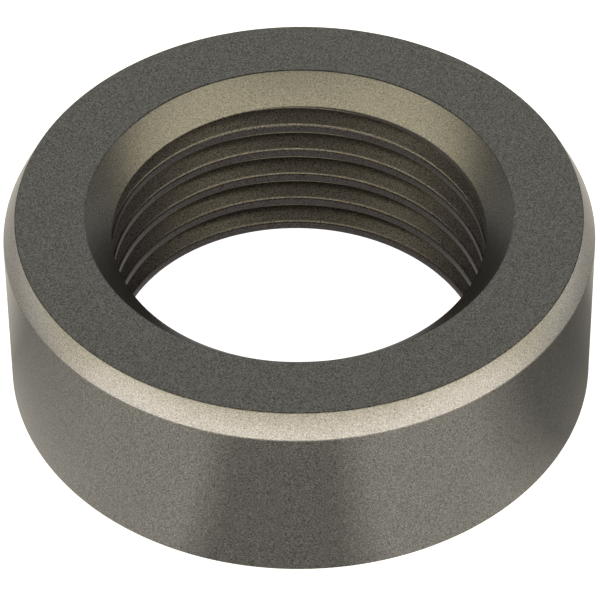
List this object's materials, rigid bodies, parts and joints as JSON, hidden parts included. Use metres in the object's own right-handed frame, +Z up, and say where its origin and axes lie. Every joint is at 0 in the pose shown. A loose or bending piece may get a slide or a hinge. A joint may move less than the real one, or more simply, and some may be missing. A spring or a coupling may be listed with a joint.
{
  "type": "oxygen sensor bung",
  "caption": "Short turned steel ring with a bevelled top edge and a countersunk internal thread, welded to an exhaust pipe to hold an oxygen sensor.",
  "frame": {"origin": "centre of the underside, which is welded to the pipe", "axes": "+Z up along the bore, towards the countersunk top face that the sensor screws into"},
  "size_m": [0.026, 0.026, 0.0091],
  "materials": {
    "turned_steel": "satin"
  },
  "bodies": {
    "root": {"bung": "turned_steel"}
  },
  "joints": []
}
